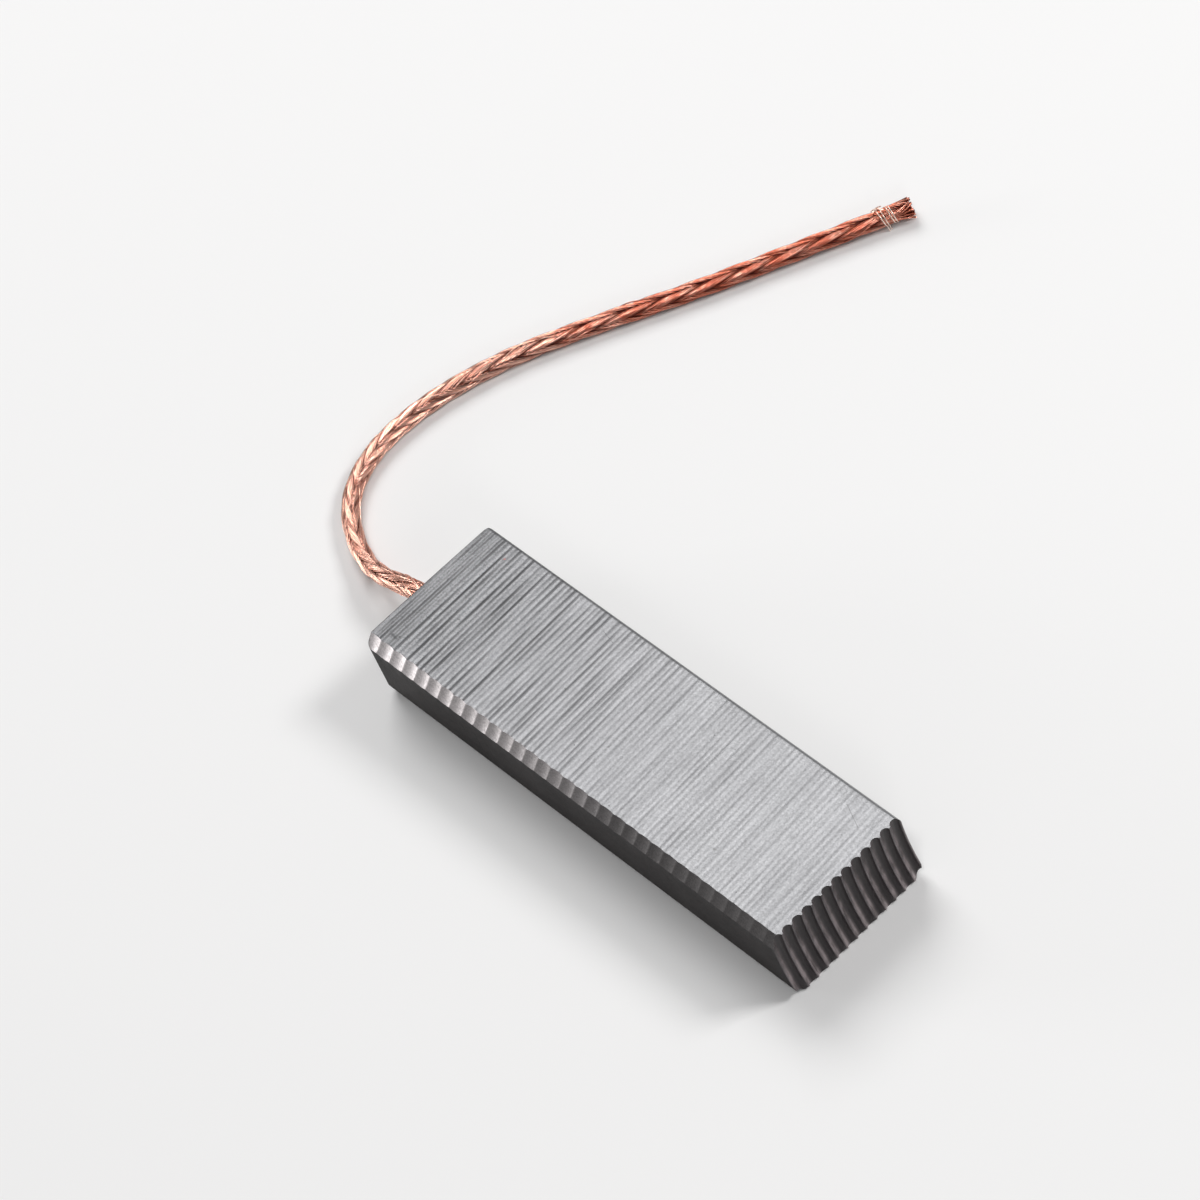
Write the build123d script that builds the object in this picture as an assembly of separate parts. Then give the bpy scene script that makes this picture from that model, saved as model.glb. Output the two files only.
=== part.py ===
from build123d import *
import math
import os

# Carbon brush for a commutator motor, in millimetres.
# The bar lies on its wide face: +X runs along it to the contact face, +Y across it, +Z up.
# The origin is the middle of the bar's underside.

# Bar of pressed carbon
bar_length = 43.0
bar_width = 12.5
bar_thickness = 6.5
edge_chamfer = 0.8
far_edge_radius = 0.6
edge_break = 0.15

# Contact face: the commutator's own arc, grooved so that it beds in fast
commutator_radius = 16.0
commutator_axis_height = 4.6
groove_radius = 0.42
groove_depth = 0.32
groove_pitch = 0.95

# Chatter marks that the cutter left along the near top chamfer
ripple_pitch = 1.2
ripple_depth = 0.08

# Socket for the lead, drilled into the rear face
socket_diameter = 2.6
socket_depth = 8.0
drill_point_angle = 118.0
plug_recess = 0.25

# Lead of braided copper
lead_diameter = 1.35
lead_seat = 7.0
floor_clearance = 0.025

# Share of the shorter run beside a corner of the route that its bend takes up
bend_share = 0.45

# Fine wire wound round the cut end of the lead
binding_diameter = 0.12
binding_pitch = 0.55
binding_turns = 2.25
binding_setback = 1.2
binding_clearance = 0.02

# Cutting tools reach this far past what they cut
overcut = 1.0

half_length = bar_length / 2
half_width = bar_width / 2
rear_x = -half_length
exit_height = bar_thickness / 2
lead_radius = lead_diameter / 2
lie_height = lead_radius + floor_clearance
tip_height = lead_radius + 2 * binding_diameter

# Route of the lead's centre line from the middle of the rear face.
# Each point is (x from the rear face, y, z).
lead_route = [
    (0.0, 0.0, exit_height),
    (-3.0, 0.0, exit_height),
    (-6.2, -0.3, 2.3),
    (-9.2, 0.1, 1.0),
    (-12.3, 1.25, lie_height),
    (-15.2, 3.35, lie_height),
    (-16.9, 6.75, lie_height),
    (-17.2, 10.75, lie_height),
    (-16.4, 15.35, lie_height),
    (-14.4, 20.55, lie_height),
    (-11.5, 25.65, lie_height),
    (-7.1, 32.75, lie_height),
    (-2.9, 40.45, lie_height),
    (1.15, 47.5, tip_height),
]
route_points = [Vector(rear_x + x, y, z) for x, y, z in lead_route]


def bar_blank():
    """Bar chamfered along both lower edges, with the far top edge rounded and the rear edges broken."""
    section = Polyline(
        (edge_chamfer - half_width, 0),
        (half_width - edge_chamfer, 0),
        (half_width, edge_chamfer),
        (half_width, bar_thickness),
        (-half_width, bar_thickness),
        (-half_width, edge_chamfer),
        close=True,
    )
    bar = extrude(make_face(Plane.YZ.offset(rear_x) * section), bar_length)
    top_edges = bar.faces().sort_by(Axis.Z)[-1].edges().filter_by(Axis.X)
    bar = fillet(top_edges.sort_by(Axis.Y)[-1], far_edge_radius)
    return chamfer(bar.faces().sort_by(Axis.X)[0].edges(), edge_break)


def bedding_tool():
    """Commutator as a cutter: a drum with round ribs, one for each groove of the face."""
    axis_x = half_length + math.sqrt(commutator_radius**2 - commutator_axis_height**2)
    drum_x = axis_x - commutator_radius
    half_chord = math.sqrt(groove_radius**2 - (groove_radius - groove_depth) ** 2)
    groove_count = int(bar_width / groove_pitch)
    end_y = half_width + overcut
    outline = []
    reached = (drum_x, -end_y)
    for groove in range(groove_count):
        middle = (groove - (groove_count - 1) / 2) * groove_pitch
        start = (drum_x, middle - half_chord)
        finish = (drum_x, middle + half_chord)
        outline.append(Line(reached, start))
        outline.append(ThreePointArc(start, (drum_x - groove_depth, middle), finish))
        reached = finish
    rest_of_section = [(drum_x, end_y), (axis_x, end_y), (axis_x, -end_y), (drum_x, -end_y)]
    outline.append(Polyline(reached, *rest_of_section))
    drum = revolve(make_face(Curve() + outline), Axis((axis_x, 0, 0), (0, 1, 0)))
    return Pos(0, 0, commutator_axis_height) * drum


def chatter_tool():
    """Cutter for the near top chamfer, with a scalloped underside that leaves the ripples."""
    across = Vector(0, 1, 1).normalized()
    middle = Vector(0, edge_chamfer / 2 - half_width, bar_thickness - edge_chamfer / 2)
    plane = Plane(origin=middle, x_dir=(1, 0, 0), z_dir=across)
    count = math.ceil(bar_length / ripple_pitch) + 1
    outline = []
    for ripple in range(count):
        start = rear_x + ripple * ripple_pitch
        outline.append(
            ThreePointArc((start, 0), (start + ripple_pitch / 2, ripple_depth), (start + ripple_pitch, 0))
        )
    finish = rear_x + count * ripple_pitch
    back_of_tool = [(finish, -edge_chamfer), (rear_x, -edge_chamfer)]
    outline.append(Polyline((finish, 0), *back_of_tool, (rear_x, 0)))
    return extrude(make_face(plane * (Curve() + outline)), edge_chamfer + overcut, both=True)


def drilled_form(mouth_x):
    """Solid that fills the socket from mouth_x to the drill's point."""
    radius = socket_diameter / 2
    point = radius / math.tan(math.radians(drill_point_angle / 2))
    shoulder_x = rear_x + socket_depth
    profile = Polyline(
        (mouth_x, 0),
        (mouth_x, radius),
        (shoulder_x, radius),
        (shoulder_x + point, 0),
        close=True,
    )
    return Pos(0, 0, exit_height) * revolve(make_face(profile), Axis.X)


def seated_lead():
    """Straight stretch of the lead inside the socket."""
    mouth = Plane(origin=(rear_x, 0, exit_height), z_dir=(1, 0, 0))
    return extrude(mouth * Circle(lead_radius), lead_seat)


def corner_radii(points):
    """Radius at each corner: as large as its two runs allow."""
    radii = []
    for before, corner, after in zip(points, points[1:], points[2:]):
        arriving = corner - before
        leaving = after - corner
        half_turn = math.radians(arriving.get_angle(leaving)) / 2
        radii.append(bend_share * min(arriving.length, leaving.length) / math.tan(half_turn))
    return radii


def free_lead():
    """Round lead from the socket's mouth down to the surface and along it."""
    radii = corner_radii(route_points)
    print("bend radii", [round(radius, 1) for radius in radii])
    path = FilletPolyline(*route_points, radius=radii)
    start = Plane(origin=path @ 0, z_dir=path % 0)
    tube = sweep(start * Circle(lead_radius), path=path)
    print("free length", round(path.length, 2))
    straight_volume = math.pi * lead_radius**2 * path.length
    print("volume over section times length", round(tube.volume / straight_volume, 5))
    return tube


def binding_coil():
    """Open turns of fine wire round the lead's last straight run.

    A six-sided section keeps so fine a wire light to draw.
    """
    run = (route_points[-1] - route_points[-2]).normalized()
    height = binding_turns * binding_pitch
    base = route_points[-1] - run * (binding_setback + height)
    coil_radius = lead_radius + binding_clearance + binding_diameter / 2
    turns = Helix(binding_pitch, height, coil_radius, center=base, direction=run)
    start = Plane(origin=turns @ 0, x_dir=run, z_dir=turns % 0)
    return sweep(start * RegularPolygon(binding_diameter / 2, 6), path=turns, is_frenet=True)


carbon_block = bar_blank() - bedding_tool() - chatter_tool() - drilled_form(rear_x)
tamped_plug = drilled_form(rear_x + plug_recess) - seated_lead()
pigtail = seated_lead() + free_lead()
binding_wire = binding_coil()

nodes = {
    "carbon_block": carbon_block,
    "tamped_plug": tamped_plug,
    "pigtail": pigtail,
    "binding_wire": binding_wire,
}

os.makedirs("parts", exist_ok=True)
for name, shape in nodes.items():
    shape.label = name
    export_step(shape, f"parts/{name}.step")
    box = shape.bounding_box()
    print(name, "volume", round(shape.volume, 2), "box", box.min, box.max)
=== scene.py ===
import math
import bpy
import numpy as np
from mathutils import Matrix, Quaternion, Vector


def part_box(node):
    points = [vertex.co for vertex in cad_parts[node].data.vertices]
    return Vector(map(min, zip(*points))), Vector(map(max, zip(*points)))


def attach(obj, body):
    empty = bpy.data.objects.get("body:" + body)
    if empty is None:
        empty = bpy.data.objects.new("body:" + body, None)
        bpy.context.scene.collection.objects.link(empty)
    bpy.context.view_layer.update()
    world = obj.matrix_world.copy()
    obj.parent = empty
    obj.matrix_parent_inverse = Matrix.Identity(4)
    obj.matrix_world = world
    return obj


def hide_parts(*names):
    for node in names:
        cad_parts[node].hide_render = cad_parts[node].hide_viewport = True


# Looks of the carbon brush, in metres, in the frame of its solids:
# +X along the bar to the contact face, +Y across it, +Z up, origin in the middle of the underside.

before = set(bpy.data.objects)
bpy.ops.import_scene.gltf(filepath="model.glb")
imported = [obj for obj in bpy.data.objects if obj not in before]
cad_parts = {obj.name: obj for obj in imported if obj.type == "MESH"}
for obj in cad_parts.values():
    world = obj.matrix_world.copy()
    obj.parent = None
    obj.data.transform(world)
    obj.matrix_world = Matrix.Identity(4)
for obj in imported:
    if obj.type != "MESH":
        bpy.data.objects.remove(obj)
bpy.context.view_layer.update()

mm = 0.001

# Bar
block_low, block_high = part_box("carbon_block")
rear_x = block_low.x
front_x = block_high.x
half_width = block_high.y
thickness = block_high.z
exit_height = thickness / 2
edge_chamfer = 0.8 * mm
top_chamfer_width = 0.70 * mm
corner_radius = 0.8 * mm
edge_break = 0.15 * mm
toe_break = 0.34 * mm

# Worn rounding of the far top edge: narrower across the top than down the side
far_edge_width = 0.36 * mm
far_edge_drop = 0.75 * mm

# Rear end: how far its near and far ends stand out of square, and its rounded corners
rear_near_lean = -0.27 * mm
rear_far_lean = 0.05 * mm
rear_corner_width = 0.42 * mm
rear_corner_depth = 0.34 * mm

# Contact face
commutator_radius = 16.0 * mm
commutator_axis_height = 4.6 * mm
groove_radius = 0.42 * mm
groove_depth = 0.32 * mm
groove_pitch = 0.95 * mm
groove_count = 13

# Chatter marks on the near top chamfer
ripple_pitch = 1.295 * mm
ripple_depth = 0.075 * mm
ripple_slant = -0.21

# Socket in the rear face
socket_radius = 1.3 * mm
socket_depth = 8.0 * mm
drill_point = 0.78 * mm
mouth_rim = 0.12 * mm
plug_recess = 0.25 * mm

# Lead
lie_height = 0.7 * mm
tip_height = 0.915 * mm

# Control points of the lead's line, from the middle of the rear face: (x, y, z)
lead_route = [
    (0.0, 0.0, exit_height),
    (-0.0030, 0.0, exit_height),
    (-0.0062, -0.0003, 0.0023),
    (-0.0092, 0.0001, 0.0010),
    (-0.0123, 0.00125, lie_height),
    (-0.0152, 0.00335, lie_height),
    (-0.0169, 0.00675, lie_height),
    (-0.0172, 0.01075, lie_height),
    (-0.0164, 0.01535, lie_height),
    (-0.0144, 0.02055, lie_height),
    (-0.0115, 0.02565, lie_height),
    (-0.0071, 0.03275, lie_height),
    (-0.0029, 0.04045, lie_height),
    (0.00115, 0.0475, tip_height),
]

# Braid of the lead: six bundles wind each way, each a flat row of fine wires
bundles_each_way = 6
wires_in_bundle = 6
wire_radius = 0.050 * mm
bundle_half_spread = 0.395
braid_middle_radius = 0.540 * mm
braid_lift = 0.090 * mm
lift_flatness = 3.2
bundle_crown = 0.060 * mm
braid_core_radius = 0.38 * mm
braid_seat = 1.6 * mm
fray_length = 1.3 * mm
floor_gap = 0.004 * mm

# Length of one turn of a bundle near the socket, in the loop and in the straight run
lay_near_socket = 15.4 * mm
lay_in_loop = 11.6 * mm
lay_in_run = 18.9 * mm

# Distances along the lead at which the loop and the straight run start, and over which the turn changes
loop_start = 12 * mm
loop_change = 6 * mm
run_start = 22 * mm
run_change = 20 * mm

# Angle at which the right-hand bundles lie on top, in the loop and in the straight run
top_angle_in_loop = math.radians(147)
top_angle_in_run = math.radians(195)

# Fine wire wound round the cut end
binding_radius = 0.045 * mm

# Finishes of the bar, by their place in its list of materials
finish_ground, finish_side, finish_contact, finish_chamfer = range(4)

# Grain of the carbon, in waves to the metre
speckle_scale = 9000.0
cloud_scale = 260.0
line_scale = 5200.0


def linked(name, data):
    """Object with this data, in the scene."""
    made = bpy.data.objects.new(name, data)
    bpy.context.scene.collection.objects.link(made)
    return made


def photo_camera():
    """Camera at the photograph's angle, aimed at a point of the floor and rolled about its own axis."""
    aim = Vector((-14.54 * mm, 8.60 * mm, 0.0))
    distance = 395.55 * mm
    azimuth = math.radians(66.16)
    elevation = math.radians(50.63)
    roll = math.radians(-24.77)
    back = Vector((
        math.sin(azimuth) * math.cos(elevation),
        -math.cos(azimuth) * math.cos(elevation),
        math.sin(elevation),
    ))
    data = bpy.data.cameras.new("photo_camera")
    data.sensor_width = 36.0
    data.lens = 164.96
    data.clip_start = 0.01
    data.clip_end = 20.0
    camera = linked("photo_camera", data)
    camera.location = aim + back * distance
    camera.rotation_mode = "QUATERNION"
    camera.rotation_quaternion = (-back).to_track_quat("-Z", "Y") @ Quaternion((0, 0, 1), roll)
    bpy.context.scene.camera = camera


def route_line():
    """Points along the lead's smooth line, read from a spline that the route's points control."""
    data = bpy.data.curves.new("lead_line", "CURVE")
    data.dimensions = "3D"
    data.resolution_u = 64
    spline = data.splines.new("NURBS")
    spline.points.add(len(lead_route) - 1)
    for point, (x, y, z) in zip(spline.points, lead_route):
        point.co = (rear_x + x, y, z, 1.0)
    spline.order_u = 3
    spline.use_endpoint_u = True
    guide = linked("lead_line", data)
    bpy.context.view_layer.update()
    mesh = bpy.data.meshes.new_from_object(guide)
    points = np.empty(len(mesh.vertices) * 3)
    mesh.vertices.foreach_get("co", points)
    bpy.data.meshes.remove(mesh)
    bpy.data.objects.remove(guide)
    bpy.data.curves.remove(data)
    return points.reshape(-1, 3)


def smooth_step(value):
    """Rises from 0 to 1 with level ends: three times the square less twice the cube."""
    value = np.clip(value, 0, 1)
    return value * value * (3 - 2 * value)


def bell(value, middle, width):
    """Falls away from 1 at the middle: e to the minus square of the distance from it over the width."""
    return np.exp(-((value - middle) / width) ** 2)


def at_tip(distance, length):
    """Square of the share of the lead's frayed last stretch that is passed."""
    return np.clip((distance - length + fray_length) / fray_length, 0, 1) ** 2


def smooth_noise(values, rng, waves, longest, shortest):
    """Sum of sine waves of uneven lengths between the two, of about unit height."""
    lengths = longest * (shortest / longest) ** rng.random(waves)
    phases = rng.random(waves) * 2 * np.pi
    total = np.sin(values[..., None] * 2 * np.pi / lengths + phases).sum(axis=-1)
    return total / math.sqrt(waves / 2)


class LeadLine:
    """The lead's line as functions of the distance along it, carried on straight past both ends."""

    def __init__(self, points):
        steps = np.linalg.norm(np.diff(points, axis=0), axis=1)
        self.reach = np.concatenate([[0.0], np.cumsum(steps)])
        self.points = points
        self.length = self.reach[-1]
        run = np.gradient(points, self.reach, axis=0)
        self.run = run / np.linalg.norm(run, axis=1, keepdims=True)
        beyond = 3 * mm
        table = np.linspace(-beyond, self.length + beyond, 4000)
        near_socket = 1 - smooth_step((table - loop_start) / loop_change)
        in_run = smooth_step((table - run_start) / run_change)
        lay = lay_in_loop + (lay_near_socket - lay_in_loop) * near_socket
        lay = lay + (lay_in_run - lay_in_loop) * in_run
        self.table = table
        self.turned = np.cumsum(2 * np.pi / lay) * (table[1] - table[0])
        self.twisted = top_angle_in_loop + (top_angle_in_run - top_angle_in_loop) * in_run

    def at(self, distance):
        """Point, direction, sideways and upward at each distance; sideways stays level."""
        inside = np.clip(distance, 0.0, self.length)
        point = np.stack([np.interp(inside, self.reach, self.points[:, i]) for i in range(3)], axis=-1)
        run = np.stack([np.interp(inside, self.reach, self.run[:, i]) for i in range(3)], axis=-1)
        run /= np.linalg.norm(run, axis=-1, keepdims=True)
        point = point + run * (distance - inside)[..., None]
        side = np.cross(np.array([0.0, 0.0, 1.0]), run)
        side /= np.linalg.norm(side, axis=-1, keepdims=True)
        return point, run, side, np.cross(run, side)

    def braid_angle(self, distance):
        """Angle that a bundle has wound through at each distance: the integral of a turn over the lay."""
        return np.interp(distance, self.table, self.turned)

    def twist(self, distance):
        """Angle by which the whole braid is twisted at each distance."""
        return np.interp(distance, self.table, self.twisted)


def build_mesh(name, points, faces, shades=None, fields=None, sharp_angle=None):
    """Mesh object from arrays of points and a list of face arrays, one for each number of corners."""
    mesh = bpy.data.meshes.new(name)
    listed = [face for block in faces for face in block.tolist()]
    mesh.from_pydata(points.reshape(-1, 3).tolist(), [], listed)
    mesh.polygons.foreach_set("use_smooth", np.ones(len(listed), dtype=bool))
    if shades is not None:
        mesh.polygons.foreach_set("material_index", np.concatenate(shades).astype(np.int32))
    for field, values in (fields or {}).items():
        attribute = mesh.attributes.new(field, "FLOAT", "POINT")
        attribute.data.foreach_set("value", values.reshape(-1).astype(np.float32))
    if sharp_angle is not None:
        mesh.set_sharp_from_angle(angle=sharp_angle)
    mesh.update()
    piece = linked(name, mesh)
    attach(piece, "root")
    return piece


def grid_quads(index):
    """Quads between the neighbouring entries of a grid of point numbers."""
    corners = [index[:-1, :-1], index[:-1, 1:], index[1:, 1:], index[1:, :-1]]
    return np.stack(corners, axis=-1).reshape(-1, 4)


def closed(index):
    """The grid of point numbers with its first column repeated at its end."""
    return np.concatenate([index, index[:, :1]], axis=1)


def round_wires(name, line, distance, angle, radius, own_radius, sides, depth):
    """Round wires that lie about the lead's line.

    Each row of the arrays is one wire: at each of its samples the distance along the line, the angle
    about it, how far from it the wire's middle is, and how deep the wire lies in the braid. A ring of
    points stands about each sample, in the plane across the wire.
    """
    point, run, side, up = line.at(distance)
    outward = side * np.cos(angle)[..., None] + up * np.sin(angle)[..., None]
    lines = point + outward * radius[..., None]
    lines[..., 2] = np.maximum(lines[..., 2], own_radius + floor_gap)
    along = np.gradient(lines, axis=1)
    along /= np.linalg.norm(along, axis=-1, keepdims=True)
    first = outward - along * np.sum(outward * along, axis=-1, keepdims=True)
    first /= np.linalg.norm(first, axis=-1, keepdims=True)
    second = np.cross(along, first)
    turn = np.arange(sides) * 2 * np.pi / sides
    ring = first[..., None, :] * np.cos(turn)[:, None] + second[..., None, :] * np.sin(turn)[:, None]
    points = lines[..., None, :] + ring * own_radius
    wires, samples = distance.shape
    index = np.arange(wires * samples * sides).reshape(wires, samples, sides)
    around = np.concatenate([index, index[:, :, :1]], axis=2)
    corners = [around[:, :-1, :-1], around[:, :-1, 1:], around[:, 1:, 1:], around[:, 1:, :-1]]
    faces = [np.stack(corners, axis=-1).reshape(-1, 4), index[:, 0, ::-1], index[:, -1, :]]
    fields = {
        "along": np.repeat((distance / line.length)[..., None], sides, axis=-1),
        "depth": np.repeat(depth[..., None], sides, axis=-1),
    }
    return build_mesh(name, points, faces, fields=fields, sharp_angle=math.radians(80))


def slack(distance, angle, length):
    """Share by which the braid stands looser.

    It widens towards the socket, with the bundles on its far side lifted clear of the rest. The binding
    draws it in, and it flares a little at the cut end.
    """
    from_end = distance - length
    near_mouth = 0.20 * bell(np.clip(distance, 0, None), 0, 2.6 * mm)
    far_side = smooth_step((np.cos(angle - math.radians(172)) - 0.45) / 0.35)
    lifted = 0.42 * far_side * bell(distance, 0.5 * mm, 1.7 * mm)
    flare = 0.10 * np.clip((from_end + 1.5 * mm) / (1.5 * mm), 0, 1) ** 1.5
    waist = -0.05 * bell(from_end, -1.9 * mm, 0.6 * mm)
    return 1 + near_mouth + lifted + flare + waist


def braid_bundle(line, number, turning, rng):
    """One bundle of the braid, a flat row of fine wires.

    Each wire keeps its own angle off the bundle's middle while the bundle winds round the lead's line.
    Its lift follows the cosine of three times its angle before the twist, flattened by the hyperbolic
    tangent. So it goes over two of the crossing bundles and under the next two, and columns of each
    family lie side by side. The crown falls off with the square of the distance from the middle.
    """
    samples = 900
    spread = np.linspace(-bundle_half_spread, bundle_half_spread, wires_in_bundle)[:, None]
    start = -braid_seat
    finish = line.length + rng.uniform(-0.16, 0.12, (wires_in_bundle, 1)) * mm
    distance = start + (finish - start) * np.linspace(0, 1, samples)[None, :]
    loosened = bell(distance, 1.5 * mm, 2.2 * mm)
    wander = np.stack([smooth_noise(row, rng, 5, 9 * mm, 2 * mm) for row in distance])
    offset = spread + wander * (0.014 + 0.05 * loosened)
    place = turning * line.braid_angle(distance) + number * 2 * np.pi / bundles_each_way + offset
    angle = place + line.twist(distance)
    over = np.cos(bundles_each_way / 2 * place)
    lift = turning * np.tanh(lift_flatness * over) / math.tanh(lift_flatness)
    crown = bundle_crown * (1 - (spread / bundle_half_spread) ** 2)
    uneven = np.stack([smooth_noise(row, rng, 4, 6 * mm, 1.5 * mm) for row in distance])
    tips = at_tip(distance, line.length)
    fray = tips * rng.normal(0, 0.08, (wires_in_bundle, 1)) * mm
    radius = (braid_middle_radius + lift * braid_lift + crown) * slack(distance, angle, line.length)
    radius = radius + uneven * (0.004 + 0.016 * loosened) * mm + fray
    angle = angle + tips * rng.normal(0, 0.20, (wires_in_bundle, 1))
    # How deep each wire lies, for the painted shade in the braid's recesses: under crossing bundles and
    # at a bundle's edges.
    depth = 0.5 - 0.5 * lift + 0.42 * (spread / bundle_half_spread) ** 6
    way = "right" if turning > 0 else "left"
    name = f"braid_{way}_{number + 1}"
    return round_wires(name, line, distance, angle, radius, wire_radius, 5, depth)


def braid_core(line):
    """Packed inside of the braid: a plain round body that fills the space under the bundles."""
    distance = np.linspace(-braid_seat, line.length - 1.4 * mm, 300)[None, :]
    middle = np.zeros_like(distance)
    return round_wires("braid_core", line, distance, middle, middle, braid_core_radius, 20, middle)


def braid_filling(line, rng):
    """Wires of the braid's inside that show at the cut end, in three rings about a middle one."""
    rings = [(0, 1), (0.12 * mm, 6), (0.24 * mm, 12), (0.36 * mm, 14)]
    base = np.concatenate([np.full(count, ring) for ring, count in rings])[:, None]
    angle = np.concatenate([np.arange(count) * 2 * np.pi / count for ring, count in rings])[:, None]
    wires = len(base)
    start = line.length - 3.2 * mm
    finish = line.length + rng.uniform(-0.28, 0.06, (wires, 1)) * mm
    distance = start + (finish - start) * np.linspace(0, 1, 40)[None, :]
    bend = at_tip(distance, line.length)
    angle = angle + 0.35 * (distance - start) / mm + bend * rng.normal(0, 0.4, (wires, 1))
    radius = base * slack(distance, angle, line.length) + bend * rng.normal(0, 0.09, (wires, 1)) * mm
    depth = 0.7 * (1 - bend)
    return round_wires("braid_filling", line, distance, angle, radius, 1.2 * wire_radius, 6, depth)


def loose_wires(line, rng):
    """Wires that have worked loose: each follows a bundle's winding and bows out like half a wave."""
    near_exit = 10
    along_run = 22
    wires = near_exit + along_run

    def drawn(near_range, run_range):
        """One draw for each wire: from the first range near the exit, from the second along the run."""
        draws = [rng.uniform(*near_range, near_exit), rng.uniform(*run_range, along_run)]
        return np.concatenate(draws)[:, None]

    start = np.concatenate([
        rng.uniform(0.4, 2.6, near_exit) * mm,
        rng.uniform(5 * mm, line.length - 6 * mm, along_run),
    ])[:, None]
    reach = drawn((2.0, 3.6), (1.6, 3.6)) * mm
    bow = drawn((0.02, 0.16), (0.02, 0.09)) * mm
    turning = np.where(rng.random((wires, 1)) < 0.5, 1.0, -1.0)
    middle = rng.uniform(math.radians(20), math.radians(200), (wires, 1))
    way = np.linspace(0, 1, 48)[None, :]
    arch = np.sin(np.pi * way)
    distance = start + reach * way
    half = start + reach / 2
    angle = middle + turning * (line.braid_angle(distance) - line.braid_angle(half))
    angle = angle + line.twist(distance) - line.twist(half)
    angle = angle + 0.12 * rng.normal(0, 1, (wires, 1)) * arch
    radius = 0.60 * mm * slack(distance, angle, line.length) + (0.07 * mm + bow) * arch**0.8
    depth = np.zeros_like(distance)
    return round_wires("braid_loose_wires", line, distance, angle, radius, 0.85 * wire_radius, 5, depth)


def binding_turns(line, rng):
    """Doubled fine wire that holds the cut end.

    Two passes cross the top of the lead on a slow helix, joined on its far side by short crossing wires,
    and the first pass ends in a free tail.
    """
    way = np.linspace(0, 1, 120)[None, :]
    strand = np.array([[-0.5], [0.5]])

    def helix(first, last, near, far, gap, tail=0.0):
        """Pair of wires from one angle to the other, at places from near to far past the lead's end."""
        near, far, gap = (value * mm for value in (near, far, gap))
        angle = np.radians(first + (last - first) * way) + 0.03 * np.sin(way * 19 + strand * 4)
        apart = strand * gap * (0.6 + 0.4 * np.sin(way * 3.1))
        distance = line.length + near + (far - near) * way + apart
        radius = 0.715 * mm + tail * 0.5 * mm * np.clip((way - 0.90) / 0.10, 0, 1) ** 1.5
        return distance, angle + strand * 0.1 * tail * way**8, radius + 0 * distance

    passes = [helix(-70, 236, -2.80, -2.02, 0.26, tail=1.0), helix(-80, 320, -2.06, -1.16, 0.22)]
    knot = [helix(20, 92, -2.95, -2.05, 0.10), helix(88, 26, -2.82, -2.16, 0.12)]
    stacked = [np.zeros((4, 1)), np.full((2, 1), 0.08), np.full((2, 1), 0.15)]
    lift = np.concatenate(stacked) * mm
    distance, angle, radius = (np.concatenate(arrays) for arrays in zip(*passes, *knot))
    depth = np.zeros_like(distance)
    return round_wires("binding_turns", line, distance, angle, radius + lift, binding_radius, 7, depth)


def face_x(y, z):
    """Where the contact face lies.

    It is the commutator's arc, set back along its radius by the round grooves, and cut at 45 degrees
    along its lower edge.
    """
    groove = (y + groove_count * groove_pitch / 2) % groove_pitch - groove_pitch / 2
    inside = np.clip(groove_radius**2 - groove**2, 0, None)
    depth = np.clip(np.sqrt(inside) - (groove_radius - groove_depth), 0, None)
    axis_x = front_x + math.sqrt(commutator_radius**2 - commutator_axis_height**2)
    reach = commutator_radius + depth
    arc = axis_x - np.sqrt(reach**2 - (z - commutator_axis_height) ** 2)
    return np.minimum(arc, front_x - toe_break + z)


def section_floor(y):
    """Height of the bar's lower outline at y: flat, then a chamfer with a round corner to the side."""
    beside = np.abs(y)
    chamfer = np.clip(beside - (half_width - edge_chamfer), 0, None)
    centre = half_width - corner_radius
    rounded = np.sqrt(np.clip(corner_radius**2 - np.clip(beside - centre, 0, None) ** 2, 0, None))
    corner = edge_chamfer + (math.sqrt(2) - 1) * corner_radius - rounded
    return np.where(beside > centre + corner_radius * math.sqrt(0.5), corner, chamfer)


def section_roof(y):
    """Height of the bar's upper outline at y: flat, with the near chamfer and the far quarter ellipse."""
    near = np.clip(-y - (half_width - top_chamfer_width), 0, None) * edge_chamfer / top_chamfer_width
    over = np.clip(y - (half_width - far_edge_width), 0, far_edge_width) / far_edge_width
    return thickness - near - far_edge_drop * (1 - np.sqrt(1 - over**2))


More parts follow.
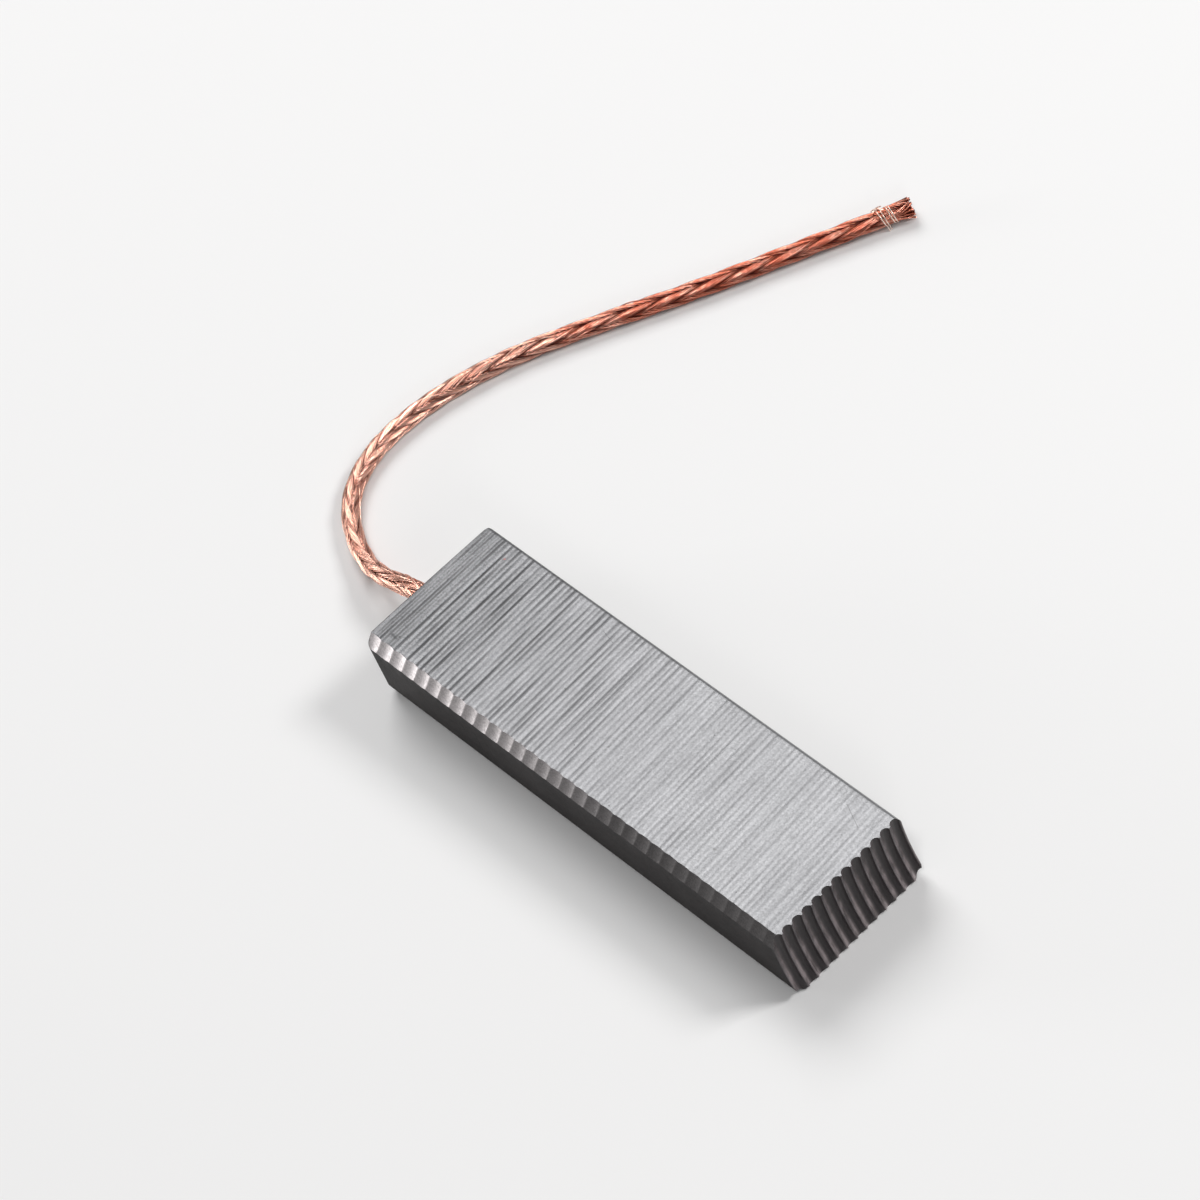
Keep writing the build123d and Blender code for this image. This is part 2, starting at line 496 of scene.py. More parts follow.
class SawMarks:
    """Marks straight across the bar: narrow valleys at uneven steps, shallower towards the contact face.

    They stand closer together near the rear end.
    """

    def __init__(self, rng, step, depth, width):
        length = front_x - rear_x
        count = int(length / step * 1.35)
        reach = np.cumsum(step * rng.uniform(0.84, 1.16, count))
        beyond = 1.5 * length
        ends = [rear_x, front_x]
        stations = [rear_x, rear_x + 2.5 * mm, -6 * mm, 2 * mm, front_x]
        self.whole = depth
        self.place = rear_x + np.interp(reach, [0, 3.6 * mm, beyond], [0, 2.2 * mm, beyond - 1.4 * mm])
        fade = np.interp(self.place, stations, [0.95, 1.1, 0.85, 0.5, 0.36])
        self.depth = depth * rng.uniform(0.65, 1.0, count) * fade
        self.width = width * rng.uniform(0.8, 1.25, count) * np.interp(self.place, ends, [0.9, 1.35])
        self.lean = np.interp(self.place, ends, [0.0, -0.05]) + rng.normal(0, 0.003, count)
        self.beat = rng.uniform(5, 18, count) * mm
        self.shift = rng.uniform(0, 2 * np.pi, count)
        self.wave = rng.uniform(2.0, 7, 7) * mm
        self.phase = rng.uniform(0, 2 * np.pi, 7)

    def at(self, x, y):
        """Depth at x, y, and the depth of the valleys alone, over that of a whole one.

        The first is the sum of the bell-shaped valleys and of broad waves.
        """
        off = (x[..., None] - self.place - self.lean * y[..., None]) / self.width
        strength = 0.75 + 0.25 * np.sin(2 * np.pi * y[..., None] / self.beat + self.shift)
        valleys = (self.depth * strength * np.exp(-off**2)).sum(axis=-1)
        waves = 1 + np.sin(2 * np.pi * x[..., None] / self.wave + self.phase).mean(axis=-1)
        return 0.004 * mm * waves + valleys, valleys / self.whole


def face_columns():
    """Columns of the contact face's grid: at even angles round each groove, on its crests and corners.

    Returns them all, and the corners alone.
    """
    half_arc = math.acos(1 - groove_depth / groove_radius)
    round_groove = np.linspace(-1, 1, 11) * half_arc
    middles = (np.arange(groove_count) - (groove_count - 1) / 2) * groove_pitch
    grooved = (middles[:, None] + groove_radius * np.sin(round_groove)[None, :]).reshape(-1)
    crests = (np.arange(groove_count + 1) - groove_count / 2) * groove_pitch
    far_arc = half_width - far_edge_width * (1 - np.sin(np.radians([0, 18, 36, 54, 68, 80, 90])))
    low_arc = half_width - corner_radius * (1 - np.cos(np.radians([0, 10, 20, 32, 45])))
    chamfer_ends = [edge_chamfer - half_width, half_width - edge_chamfer]
    near_top = [-half_width, top_chamfer_width - half_width]
    corners = np.concatenate([near_top, chamfer_ends, far_arc, low_arc, -low_arc])
    corners = np.unique(np.round(corners, 9))
    free = np.concatenate([grooved, crests])
    free = free[np.abs(free) < half_width]
    apart = np.abs(free[:, None] - corners[None, :]).min(axis=1)
    return np.union1d(np.round(free[apart > 0.012 * mm], 9), corners), corners


def carbon_bar(rng):
    """The bar as one closed surface.

    Its outline is carried from the rear edge to the contact face, with the cutter's marks added along
    each side's own outward direction. A fine grid of the grooved arc closes the front, and rings that
    shrink to the drilled socket close the rear.
    """
    across, corners = face_columns()
    columns = len(across)
    low_rows = np.array([0, 0.012, 0.025, 0.04, 0.055])
    share = np.concatenate([low_rows, np.linspace(0.08, 1, 38)])[:, None]
    rows = len(share)
    grid_y = np.repeat(across[None, :], rows, axis=0)
    grid_z = section_floor(grid_y) + share * (section_roof(grid_y) - section_floor(grid_y))

    def border(grid):
        """The grid's edge as one loop: bottom, far side, back along the top and down the near side."""
        return np.concatenate([grid[0, :], grid[1:, -1], grid[-1, -2::-1], grid[-2:0:-1, 0]])

    loop_y = border(grid_y)
    loop_z = border(grid_z)
    fine = len(loop_y)
    number = np.arange(fine)
    on_bottom = number < columns
    on_top = (number >= columns + rows - 2) & (number < 2 * columns + rows - 2)
    chamfer_top = top_chamfer_width - half_width
    near_chamfer = on_top & (loop_y < chamfer_top + 1e-9)
    ground_top = on_top & (loop_y > chamfer_top - 1e-9) & (loop_y < half_width - 0.06 * far_edge_width)
    flat_top = ground_top & (loop_y < half_width - far_edge_width + 1e-9)
    flat_bottom = on_bottom & (np.abs(loop_y) < half_width - edge_chamfer + 1e-9)
    on_side = ~(on_top | on_bottom)

    # A coarser loop serves the bar's length: its corners, and the points nearest to even steps
    def nearest(mask, values, step):
        """Numbers of the masked points that lie nearest to even steps of the values."""
        picked = np.flatnonzero(mask)
        wanted = np.arange(values[picked].min(), values[picked].max() + step / 2, step)
        return picked[np.abs(values[picked][:, None] - wanted[None, :]).argmin(axis=0)]

    is_corner = (on_bottom | on_top) & (np.abs(loop_y[:, None] - corners[None, :]).min(axis=1) < 1e-8)
    keep = np.unique(np.concatenate([
        [0],
        np.flatnonzero(is_corner),
        nearest(flat_top, loop_y, 0.66 * mm),
        nearest(flat_bottom, loop_y, 1.3 * mm),
        nearest(on_side & (loop_y > 0), loop_z, 1.5 * mm),
        nearest(on_side & (loop_y < 0), loop_z, 1.5 * mm),
    ]))

    top_marks = SawMarks(rng, 0.46 * mm, 0.041 * mm, 0.105 * mm)
    bottom_marks = SawMarks(rng, 0.50 * mm, 0.020 * mm, 0.07 * mm)
    side_marks = SawMarks(rng, 1.3 * mm, 0.005 * mm, 0.10 * mm)

    def skewed(x, y):
        """x with the rear end out of square, as the near side reaches further back, and round corners."""
        across_bar = np.clip((y + half_width) / (2 * half_width), 0, 1)
        lean = rear_near_lean + (rear_far_lean - rear_near_lean) * across_bar**1.5
        corner = np.clip((np.abs(y) - half_width + rear_corner_width) / rear_corner_width, 0, 1)
        lean_fade = np.clip((rear_x + 4 * mm - x) / (4 * mm), 0, 1)
        corner_fade = np.clip((rear_x + 0.9 * mm - x) / (0.9 * mm), 0, 1)
        return x + lean * lean_fade + rear_corner_depth * corner**2 * corner_fade

    def dressed(x, pick):
        """Points of the outline at stations x with each side's marks cut in, and each valley's share."""
        y = np.repeat(loop_y[pick][None, :], len(x), axis=0)
        z = np.repeat(loop_z[pick][None, :], len(x), axis=0)
        blend = smooth_step((x - front_x + 2.4 * mm) / (2.4 * mm))
        x = x + blend * (face_x(y, z) - front_x)
        on_rounding = np.clip((half_width - loop_y[pick]) / far_edge_width, 0, 1)
        top, valley = (marks * ground_top[pick] * on_rounding for marks in top_marks.at(x, y))
        bottom = bottom_marks.at(x, y)[0] * flat_bottom[pick]
        side = side_marks.at(x, z)[0] * on_side[pick]
        phase = ((x - rear_x + ripple_slant * (z - thickness)) / ripple_pitch) % 1
        stations = [rear_x, -2 * mm, front_x - 0.8 * mm, front_x - 0.2 * mm]
        fade = np.interp(x, stations, [1.0, 0.6, 0.25, 0.0])
        growth = math.sqrt(2) * ripple_depth * fade * 4 * phase * (1 - phase)
        up_chamfer = (y + half_width) / top_chamfer_width
        chamfer_y = -half_width + up_chamfer * (top_chamfer_width + growth)
        chamfer_z = thickness + (up_chamfer - 1) * (edge_chamfer + growth)
        beside = growth * np.clip(1 - (y - chamfer_top) / (0.7 * mm), 0, 1)
        y_out = np.where(near_chamfer[pick], chamfer_y, y + beside * flat_top[pick] - np.sign(y) * side)
        z_out = np.where(near_chamfer[pick], chamfer_z, z - top + bottom)
        return np.stack([skewed(x, y), y_out, z_out], axis=-1), valley

    # Stations along the bar, coarse loop first and then the fine one for the last stretch
    split_x = front_x - 1.4 * mm
    long_x = np.linspace(rear_x + edge_break, split_x, 1170)[:, None]
    last_x = np.linspace(split_x, front_x, 24)[1:, None]
    long_points, long_valley = dressed(long_x, keep)
    last_points, last_valley = dressed(last_x, number)
    coarse = len(keep)

    # Rear: the broken edge, then rings from the outline to the socket's mouth, its bore and its point
    centre = np.array([0.0, exit_height])
    outline = np.stack([loop_y[keep], loop_z[keep]], axis=-1)
    toward = outline - centre
    angle = np.arctan2(toward[:, 1], toward[:, 0])
    round_dir = np.stack([np.cos(angle), np.sin(angle)], axis=-1)
    shrunk = centre + toward * (1 - edge_break / np.array([half_width, exit_height]))
    mouth = centre + round_dir * (socket_radius + mouth_rim)
    steps = np.linspace(0, 1, 24)[:, None, None]
    flat = shrunk * (1 - steps) + mouth * steps
    grain = 0.007 * mm * np.sin(flat[..., 1] / (0.11 * mm) + 0.8 * np.sin(flat[..., 0] / (0.7 * mm)))
    grain[0] = 0
    grain[-1] = 0
    rear_rings = np.concatenate([skewed(rear_x + grain, flat[..., 0])[..., None], flat], axis=-1)
    bore = centre + round_dir * socket_radius
    bore_x = rear_x + np.array([mouth_rim, 2 * mm, socket_depth])[:, None]
    bore_rings = np.concatenate([
        np.broadcast_to(bore_x[..., None], (3, coarse, 1)),
        np.broadcast_to(bore[None], (3, coarse, 2)),
    ], axis=-1)
    point = np.array([[rear_x + socket_depth + drill_point, 0.0, exit_height]])

    # Inside of the grid on the contact face
    inner_y = grid_y[1:-1, 1:-1]
    inner_z = grid_z[1:-1, 1:-1]
    inner = np.stack([face_x(inner_y, inner_z), inner_y, inner_z], axis=-1)

    parts = (rear_rings, bore_rings, point, long_points, last_points, inner)
    counts = np.cumsum([0] + [part.size // 3 for part in parts])
    points = np.concatenate([part.reshape(-1, 3) for part in parts])
    valley = np.zeros(len(points))
    valley[counts[3]:counts[4]] = long_valley.reshape(-1)
    valley[counts[4]:counts[5]] = last_valley.reshape(-1)
    rear_index = np.arange(counts[0], counts[1]).reshape(-1, coarse)
    bore_index = np.arange(counts[1], counts[2]).reshape(-1, coarse)
    long_index = np.arange(counts[3], counts[4]).reshape(-1, coarse)
    last_index = np.arange(counts[4], counts[5]).reshape(-1, fine)

    # Contact face: its border is the last ring
    face_index = np.empty((rows, columns), dtype=int)
    face_index[1:-1, 1:-1] = np.arange(counts[5], counts[6]).reshape(rows - 2, columns - 2)
    ring = last_index[-1]
    face_index[0, :] = ring[:columns]
    face_index[1:, -1] = ring[columns:columns + rows - 1]
    face_index[-1, -2::-1] = ring[columns + rows - 1:2 * columns + rows - 2]
    face_index[-2:0:-1, 0] = ring[2 * columns + rows - 2:]
    face_quads = grid_quads(face_index)

    # Seam between the coarse loop and the fine one: each fine step joins its nearest coarse point
    position = np.interp(np.arange(fine + 1), np.append(keep, fine), np.arange(coarse + 1))
    joined = np.round(position).astype(int)
    fine_ring = np.append(last_index[0], last_index[0, 0])
    coarse_ring = np.append(long_index[-1], long_index[-1, 0])
    fans = np.stack([coarse_ring[joined[:-1]], fine_ring[1:], fine_ring[:-1]], axis=-1)
    moved = joined[1:] != joined[:-1]
    closing = np.stack([coarse_ring[joined[:-1]], coarse_ring[joined[1:]], fine_ring[1:]], axis=-1)[moved]

    tail_index = np.concatenate([bore_index[::-1], rear_index[::-1], long_index])
    sleeve = grid_quads(closed(tail_index))[:, ::-1]
    collar = grid_quads(closed(last_index))[:, ::-1]
    tip_ring = closed(bore_index[-1:])[0]
    tip = np.stack([np.full(coarse, counts[2]), tip_ring[:-1], tip_ring[1:]], axis=-1)
    faces = [sleeve, collar, face_quads, fans, closing, tip]

    # Finish of each face
    finish_of = np.full(fine, finish_side)
    finish_of[ground_top & np.roll(ground_top, -1)] = finish_ground
    finish_of[flat_bottom & np.roll(flat_bottom, -1)] = finish_ground
    finish_of[near_chamfer & np.roll(near_chamfer, -1)] = finish_chamfer
    coarse_next = np.append(keep[1:], fine) - 1
    same = finish_of[keep] == finish_of[coarse_next]
    coarse_finish = np.where(same, finish_of[keep], finish_side)
    shades = [
        np.full((len(tail_index) - len(long_index)) * coarse, finish_side),
        np.tile(coarse_finish, len(long_index) - 1),
        np.tile(finish_of, len(last_index) - 1),
        np.full(len(face_quads), finish_contact),
        finish_of,
        finish_of[moved],
        np.full(len(tip), finish_side),
    ]
    return build_mesh("carbon_bar", points, faces, shades, {"valley": valley}, math.radians(38))


def tamped_face(rng):
    """Tamped powder round the lead: an outline carried round the socket's axis, rough in front."""
    spokes = 120
    front_rows = 26
    inner_r = 0.50 * mm
    outer_r = socket_radius - 0.01 * mm
    behind = 1.4 * mm
    turn = np.arange(spokes) * 2 * np.pi / spokes
    outline_r = np.concatenate([np.linspace(inner_r, outer_r, front_rows), [outer_r, inner_r]])
    outline_x = np.concatenate([np.full(front_rows, plug_recess - 0.12 * mm), [behind, behind]]) + rear_x
    y = outline_r[:, None] * np.cos(turn)
    z = outline_r[:, None] * np.sin(turn)
    rough = np.zeros_like(y)
    for wave in range(14):
        heading = rng.uniform(0, 2 * np.pi)
        length = rng.uniform(0.10, 0.55) * mm
        across = y * np.cos(heading) + z * np.sin(heading)
        rough += np.sin(across * 2 * np.pi / length + rng.uniform(0, 6))
    rough = 0.012 * mm * rough
    rough[front_rows:] = 0
    dish = 0.10 * mm * bell(outline_r, 0.6 * mm, 0.25 * mm)[:, None]
    dish = np.where(np.arange(len(outline_r))[:, None] < front_rows, -dish, 0)
    x = outline_x[:, None] + rough + dish
    points = np.stack([x, y, z + exit_height], axis=-1)
    index = np.arange(points.size // 3).reshape(len(outline_r), spokes)
    wrapped = closed(np.concatenate([index, index[:1]]))
    return build_mesh("tamped_powder", points, [grid_quads(wrapped)], sharp_angle=math.radians(50))


def new_material(name):
    """Material with a Principled surface, its node tree, and that surface."""
    material = bpy.data.materials.new(name)
    material.use_nodes = True
    tree = material.node_tree
    return material, tree, tree.nodes["Principled BSDF"]


def feed(tree, fed, inputs):
    """Gives the inputs of a node their values, and makes the links into it."""
    for socket, source in inputs.items():
        if isinstance(source, bpy.types.NodeSocket):
            tree.links.new(source, fed.inputs[socket])
        else:
            fed.inputs[socket].default_value = source


def node(tree, kind, inputs=None, **settings):
    """Adds a node with its settings, and feeds it."""
    added = tree.nodes.new(kind)
    for name, value in settings.items():
        setattr(added, name, value)
    feed(tree, added, inputs or {})
    return added


def object_place(tree):
    """Position on the object."""
    return node(tree, "ShaderNodeTexCoord").outputs["Object"]


def split_place(tree, place):
    """The position's three parts."""
    return node(tree, "ShaderNodeSeparateXYZ", {"Vector": place}).outputs


def mesh_value(tree, name):
    """Value that the mesh carries at each of its points under this name."""
    return node(tree, "ShaderNodeAttribute", attribute_name=name).outputs["Fac"]


def noise(tree, place, scale, detail):
    """Smooth noise on the position, in waves to the metre."""
    inputs = {"Vector": place, "Scale": scale, "Detail": detail}
    return node(tree, "ShaderNodeTexNoise", inputs).outputs["Fac"]


def maths(tree, operation, first, second=0.0, **settings):
    """Result of an operation on one or two values."""
    inputs = {0: first, 1: second}
    return node(tree, "ShaderNodeMath", inputs, operation=operation, **settings).outputs[0]


def vector_maths(tree, operation, first, second, output="Vector"):
    """Result of an operation on two vectors."""
    inputs = {0: first, 1: second}
    return node(tree, "ShaderNodeVectorMath", inputs, operation=operation).outputs[output]


def scaled(tree, vector, share):
    """Vector or colour times a share."""
    inputs = {0: vector, "Scale": share}
    return node(tree, "ShaderNodeVectorMath", inputs, operation="SCALE").outputs["Vector"]


def blend_values(tree, share, first, second):
    """Value that goes from the first to the second with the share."""
    inputs = {"Factor": share, 2: first, 3: second}
    return node(tree, "ShaderNodeMix", inputs, data_type="FLOAT").outputs[0]


def opaque(colour):
    """A plain colour with full cover, or the output that gives the colour, as it is."""
    return (*colour, 1.0) if isinstance(colour, tuple) else colour


def blend_colours(tree, share, first, second):
    """Colour that goes from the first to the second with the share."""
    inputs = {"Factor": share, 6: opaque(first), 7: opaque(second)}
    return node(tree, "ShaderNodeMix", inputs, data_type="RGBA").outputs[2]


def span(tree, value, low, high, start=0.0, finish=1.0):
    """Value carried from the span between low and high to that from start to finish, and held there."""
    inputs = {"Value": value, "From Min": low, "From Max": high, "To Min": start, "To Max": finish}
    return node(tree, "ShaderNodeMapRange", inputs).outputs["Result"]


def group(name, vectors, values, outputs):
    """Empty node group with named vectors and values going in and values coming out."""
    tree = bpy.data.node_groups.new(name, "ShaderNodeTree")
    sockets = [(socket, "INPUT", "NodeSocketVector") for socket in vectors]
    sockets += [(socket, "INPUT", "NodeSocketFloat") for socket in values]
    sockets += [(socket, "OUTPUT", "NodeSocketFloat") for socket in outputs]
    for socket, way, kind in sockets:
        tree.interface.new_socket(socket, in_out=way, socket_type=kind)
    return tree, tree.nodes.new("NodeGroupInput").outputs, tree.nodes.new("NodeGroupOutput").inputs


def placed(tree, made, **inputs):
    """Outputs of a group placed in a material, with the values of its inputs and the links into it."""
    named = {name.replace("_", " "): source for name, source in inputs.items()}
    return node(tree, "ShaderNodeGroup", named, node_tree=made).outputs


def grain_group():
    """Grain of pressed carbon: fine speckle, sparse pores and slow clouds, from noise on the position."""
    values = ["Speckle Scale", "Cloud Scale"]
    tree, given, result = group("carbon_grain", ["Position"], values, ["Speckle", "Pores", "Clouds"])
    place = given["Position"]
    pores = noise(tree, place, 2600.0, 1.0)
    tree.links.new(noise(tree, place, given["Speckle Scale"], 2.0), result["Speckle"])
    tree.links.new(span(tree, pores, 0.79, 0.86), result["Pores"])
    tree.links.new(noise(tree, place, given["Cloud Scale"], 3.0), result["Clouds"])
    return tree


def lines_group():
    """Fine parallel scratches: noise on a position that is stretched along one axis."""
    tree, given, result = group("cut_lines", ["Position", "Stretch"], ["Fineness"], ["Lines"])
    stretched = vector_maths(tree, "MULTIPLY", given["Position"], given["Stretch"])
    tree.links.new(noise(tree, stretched, given["Fineness"], 2.0), result["Lines"])
    return tree


def nick_group():
    """Mask of one nick: full on the line between two points, and gone at its width from it."""
    tree, given, result = group("nick", ["Position", "Start", "Run"], ["Width"], ["Mask"])
    run = given["Run"]
    from_start = vector_maths(tree, "SUBTRACT", given["Position"], given["Start"])
    along = vector_maths(tree, "DOT_PRODUCT", from_start, run, "Value")
    whole = vector_maths(tree, "DOT_PRODUCT", run, run, "Value")
    share = maths(tree, "DIVIDE", along, whole, use_clamp=True)
    off = vector_maths(tree, "DISTANCE", from_start, scaled(tree, run, share), "Value")
    near = maths(tree, "DIVIDE", off, given["Width"])
    tree.links.new(span(tree, near, 0.3, 1.0, 1.0, 0.0), result["Mask"])
    return tree


def carbon_finish(groups, name, dark, light, metallic, roughness=0.40, line_share=0.35, cloud_share=0.35,
                  stretch=(0.4, 1.0, 1.0), bump=0.4):
    """Carbon whose colour runs between two greys by lines, clouds and speckle, and its gloss by the same.

    Returns the material, its tree, its surface, the position and the colour, which is not linked yet.
    """
    material, tree, surface = new_material(name)
    place = object_place(tree)
    scales = {"Speckle_Scale": speckle_scale, "Cloud_Scale": cloud_scale}
    grain = placed(tree, groups["grain"], Position=place, **scales)
    lines = placed(tree, groups["lines"], Position=place, Fineness=line_scale, Stretch=stretch)
    mixed = blend_values(tree, line_share, grain["Speckle"], lines["Lines"])
    clouded = blend_values(tree, cloud_share, mixed, grain["Clouds"])
    colour = blend_colours(tree, span(tree, clouded, 0.35, 0.65), dark, light)
    colour = blend_colours(tree, grain["Pores"], colour, (0.008, 0.007, 0.007))
    rough = span(tree, clouded, 0.3, 0.7, roughness + 0.06, roughness - 0.06)
    height = node(tree, "ShaderNodeBump", {"Strength": bump, "Distance": 0.01 * mm, "Height": mixed})
    feed(tree, surface, {"Roughness": rough, "Normal": height.outputs["Normal"], "Metallic": metallic})
    return material, tree, surface, place, colour


def along_bar(tree, place, first_x, last_x, first, last):
    """Value that runs evenly from one place along the bar to another."""
    return span(tree, split_place(tree, place)["X"], first_x, last_x, first, last)


def ground_finish(groups):
    """Ground carbon: silvery and nicked, lighter towards the contact face by painted reflection, with
    painted shade in the saw's valleys.
    """
    material, tree, surface, place, colour = carbon_finish(
        groups, "carbon_ground", dark=(0.176, 0.176, 0.181), light=(0.230, 0.230, 0.237), metallic=0.62,
        line_share=0.30, cloud_share=0.15, stretch=(1.0, 0.03, 1.0), bump=0.16)
    # Painted reflection: the colour grows lighter towards the contact face, as if it mirrored a lamp
    # there.
    colour = scaled(tree, colour, along_bar(tree, place, -20 * mm, 16 * mm, 0.88, 1.19))
    # Painted shade: the saw's valleys darken to near black.
    painted_valley_shade = span(tree, mesh_value(tree, "valley"), 0.0, 1.0, 0.0, 0.86)
    colour = blend_colours(tree, painted_valley_shade, colour, (0.030, 0.030, 0.032))
    near_rear = along_bar(tree, place, -21 * mm, -4 * mm, 0.60, 0.0)
    specks = span(tree, noise(tree, place, 7500.0, 1.0), 0.50, 0.68)
    grit = maths(tree, "MULTIPLY", specks, near_rear)
    colour = blend_colours(tree, grit, colour, (0.060, 0.060, 0.063))

    # Nicks of the top face in millimetres: x and y of the start, run in x and y, width, and colour
    nicks = [
        (-20.25, -4.66, 0.55, -0.06, 0.16, (0.06, 0.06, 0.062)),
        (-7.45, 4.72, 1.30, -0.30, 0.035, (0.09, 0.09, 0.092)),
        (17.20, 4.80, 2.0, -0.90, 0.035, (0.12, 0.12, 0.122)),
        (-18.20, 4.77, 0.06, 0.03, 0.07, (0.30, 0.10, 0.09)),
        (-19.60, -4.50, 0.05, 0.02, 0.10, (0.05, 0.05, 0.05)),
        (-17.10, -0.87, 0.10, 0.04, 0.11, (0.08, 0.08, 0.08)),
        (-6.20, -0.33, 0.12, -0.03, 0.10, (0.11, 0.11, 0.11)),
        (0.0, -1.90, 0.05, 0.16, 0.09, (0.11, 0.11, 0.11)),
        (12.20, -3.30, 0.16, 0.05, 0.10, (0.14, 0.14, 0.14)),
    ]
    for *sizes, tint in nicks:
        x, y, run_x, run_y, width = (size * mm for size in sizes)
        ends = {"Start": (x, y, 6.5 * mm), "Run": (run_x, run_y, 0.0)}
        nick = placed(tree, groups["nick"], Position=place, Width=width, **ends)
        colour = blend_colours(tree, nick["Mask"], colour, tint)
    feed(tree, surface, {"Base Color": colour})
    return material


def contact_finish(groups):
    """Grooved contact face: dark valleys, and a painted highlight on one flank of each ridge, stronger
    low on the face.
    """
    material, tree, surface, place, colour = carbon_finish(
        groups, "carbon_contact_face", dark=(0.016, 0.012, 0.013), light=(0.030, 0.024, 0.025),
        metallic=0.15)
    parts = split_place(tree, place)
    pitches = maths(tree, "DIVIDE", parts["Y"], groove_pitch)
    phase = maths(tree, "FRACT", maths(tree, "ADD", pitches, groove_count / 2))
    # Painted highlight: a light band over one flank of each groove, stronger towards the lower edge and
    # uneven.
    ramp = node(tree, "ShaderNodeValToRGB", {"Fac": phase})
    stops = [(0.0, 0.55), (0.10, 0.95), (0.28, 1.0), (0.44, 0.25), (0.60, 0.0), (0.92, 0.05), (1.0, 0.55)]
    while len(ramp.color_ramp.elements) < len(stops):
        ramp.color_ramp.elements.new(0.5)
    for element, (position, level) in zip(ramp.color_ramp.elements, stops):
        element.position = position
        element.color = (level, level, level, 1.0)
    low = span(tree, parts["Z"], 6.0 * mm, 0.6 * mm, 0.35, 1.0)
    uneven = span(tree, noise(tree, place, 900.0, 2.0), 0.38, 0.62, 0.40, 1.15)
    strength = maths(tree, "MULTIPLY", low, uneven)
    painted_flank_highlight = maths(tree, "MULTIPLY", ramp.outputs["Color"], strength)
    colour = blend_colours(tree, painted_flank_highlight, colour, (0.34, 0.29, 0.295))
    feed(tree, surface, {"Base Color": colour})
    return material


def plain_finish(groups):
    """Carbon as it was pressed, nearly black, with no other marks."""
    material, tree, surface, _, colour = carbon_finish(
        groups, "carbon_side", dark=(0.007, 0.005, 0.005), light=(0.016, 0.012, 0.012), metallic=0.05,
        roughness=0.50, bump=0.5)
    feed(tree, surface, {"Base Color": colour, "Specular IOR Level": 0.14})
    return material


def chamfer_finish(groups):
    """Carbon cut by the chamfering tool, with a painted highlight: bright at the rear and dark in front.
    """
    material, tree, surface, place, colour = carbon_finish(
        groups, "carbon_chamfer", dark=(0.13, 0.12, 0.12), light=(0.24, 0.225, 0.225), metallic=0.60,
        cloud_share=0.30)
    # Painted highlight: the colour is raised to over three times at the rear and falls to half in front.
    colour = scaled(tree, colour, along_bar(tree, place, -20 * mm, 5 * mm, 3.3, 0.50))
    feed(tree, surface, {"Base Color": colour})
    return material


def copper_finish(name, bright, dull, roughness, recess_shade=None):
    """Bare copper wire: bright with duller, redder patches.

    Where a colour of painted shade is given for the braid's recesses, the wires take it there. The dull
    patches then grow along the lead, partly as tarnish and partly as painted reflection, while its gloss
    rises.
    """
    material, tree, surface = new_material(name)
    place = object_place(tree)
    level = blend_values(tree, 0.4, noise(tree, place, 700.0, 3.0), noise(tree, place, 6000.0, 1.0))
    if recess_shade:
        # Partly tarnish, partly painted reflection: the copper grows duller and redder along the lead.
        along = mesh_value(tree, "along")
        level = maths(tree, "ADD", level, span(tree, along, 0.46, 0.66, -0.14, 0.14))
    colour = blend_colours(tree, span(tree, level, 0.42, 0.68), bright, dull)
    rough = span(tree, level, 0.4, 0.7, roughness - 0.04, roughness + 0.06)
    if recess_shade:
        # Painted shade: the wires darken to the given colour where they lie deep in the braid, more so
        # along the run.
        deep = span(tree, mesh_value(tree, "depth"), 0.10, 0.62)
        strength = span(tree, along, 0.36, 0.58, 0.58, 0.92)
        colour = blend_colours(tree, maths(tree, "MULTIPLY", deep, strength), colour, recess_shade)
        rough = maths(tree, "ADD", rough, span(tree, along, 0.20, 0.42, 0.16, 0.0))
    feed(tree, surface, {"Base Color": colour, "Roughness": rough, "Metallic": 1.0})
    return material


def powder_finish(groups):
    """Tamped copper powder: dull brown grains of uneven tone."""
    material, tree, surface = new_material("tamped_copper_powder")
    place = object_place(tree)
    grain = placed(tree, groups["grain"], Position=place, Speckle_Scale=7000.0, Cloud_Scale=900.0)
    colour = blend_colours(tree, grain["Speckle"], (0.055, 0.032, 0.024), (0.30, 0.15, 0.10))
    bump = {"Strength": 0.5, "Distance": 0.02 * mm, "Height": grain["Speckle"]}
    normal = node(tree, "ShaderNodeBump", bump).outputs["Normal"]
    feed(tree, surface, {"Base Color": colour, "Normal": normal, "Metallic": 0.55, "Roughness": 0.62})
    return material


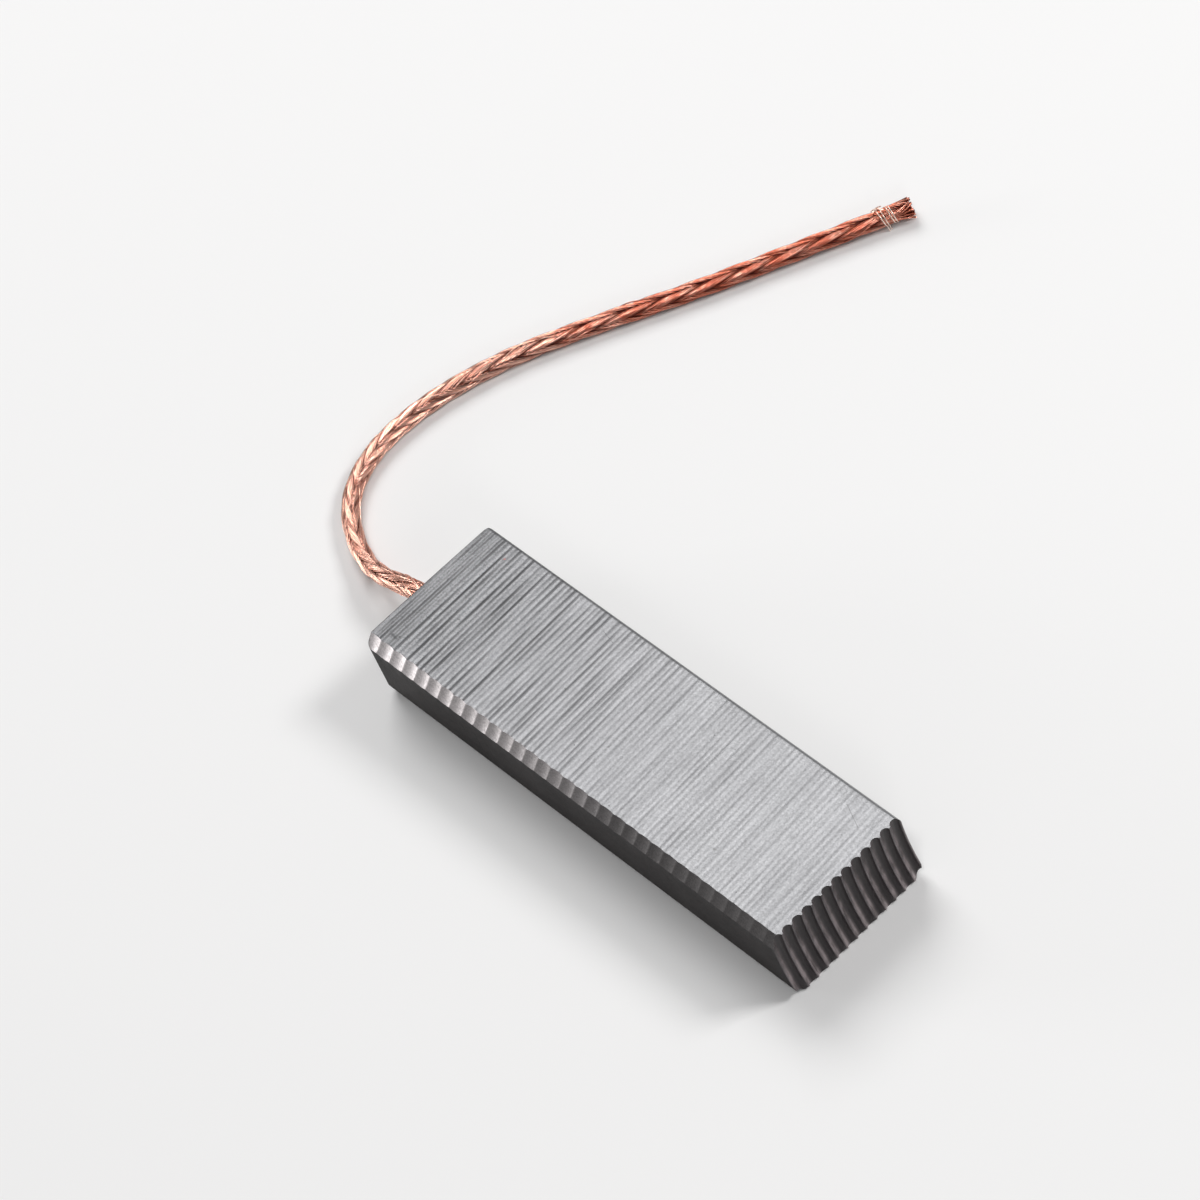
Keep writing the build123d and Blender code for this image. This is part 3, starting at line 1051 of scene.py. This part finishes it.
def studio():
    """Pale floor, an even pale surround and soft lamps."""
    mesh = bpy.data.meshes.new("floor")
    half = 3.0
    corners = [(-half, -half, 0), (half, -half, 0), (half, half, 0), (-half, half, 0)]
    mesh.from_pydata(corners, [], [(0, 1, 2, 3)])
    floor = linked("floor", mesh)
    material, tree, surface = new_material("pale_floor")
    feed(tree, surface, {"Base Color": (0.84, 0.835, 0.83, 1.0), "Roughness": 0.85})
    mesh.materials.append(material)

    world = bpy.data.worlds.new("surround")
    bpy.context.scene.world = world
    world.use_nodes = True
    backdrop = world.node_tree.nodes["Background"]
    feed(world.node_tree, backdrop, {"Color": (0.97, 0.98, 1.0, 1.0), "Strength": 0.17})

    def lamp(name, toward, distance, size, power):
        """Soft rectangular lamp in a direction from the bar, turned to face it."""
        data = bpy.data.lights.new(name, "AREA")
        data.shape = "RECTANGLE"
        data.size = size[0]
        data.size_y = size[1]
        data.energy = power
        fixture = linked(name, data)
        direction = Vector(toward).normalized()
        fixture.location = direction * distance
        fixture.rotation_mode = "QUATERNION"
        fixture.rotation_quaternion = (-direction).to_track_quat("-Z", "Y")
        fixture.visible_camera = False

    lamp("window_behind", (-0.62, 0.27, 0.74), 0.62, (0.34, 0.34), 2.2)
    lamp("window_far_side", (0.40, 0.62, 0.66), 0.60, (0.16, 0.16), 1.6)
    lamp("window_before", (0.76, -0.34, 0.48), 0.60, (0.15, 0.15), 0.38)
    lamp("window_low", (-0.82, -0.57, 0.13), 0.46, (0.16, 0.10), 0.44)
    lamp("window_above", (0.30, -0.25, 0.92), 0.60, (0.08, 0.08), 0.50)


def main():
    photo_camera()
    line = LeadLine(route_line())
    rng = np.random.default_rng(11)

    bundles = []
    for turning in (1, -1):
        for number in range(bundles_each_way):
            bundles.append(braid_bundle(line, number, turning, rng))
    core = braid_core(line)
    filling = braid_filling(line, rng)
    strays = loose_wires(line, rng)
    binding = binding_turns(line, rng)
    bar = carbon_bar(rng)
    powder = tamped_face(rng)

    groups = {"grain": grain_group(), "lines": lines_group(), "nick": nick_group()}
    for finish in (ground_finish, plain_finish, contact_finish, chamfer_finish):
        bar.data.materials.append(finish(groups))
    copper = copper_finish("copper_braid", (0.97, 0.58, 0.46), (0.64, 0.20, 0.125), 0.15,
                           recess_shade=(0.19, 0.034, 0.018))
    bright_copper = copper_finish("copper_binding", (1.0, 0.86, 0.76), (0.95, 0.66, 0.54), 0.34)
    # Painted shade: the braid's core is near-black copper, so the gaps between the bundles read as
    # shadow.
    shaded_core_copper = copper_finish("copper_inside_shade", (0.16, 0.05, 0.03), (0.09, 0.025, 0.015), 0.6)
    for piece in bundles + [filling, strays]:
        piece.data.materials.append(copper)
    core.data.materials.append(shaded_core_copper)
    binding.data.materials.append(bright_copper)
    powder.data.materials.append(powder_finish(groups))

    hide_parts("carbon_block")
    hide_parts("pigtail")
    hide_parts("binding_wire")
    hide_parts("tamped_plug")

    studio()
    scene = bpy.context.scene
    scene.view_settings.view_transform = "Standard"


main()
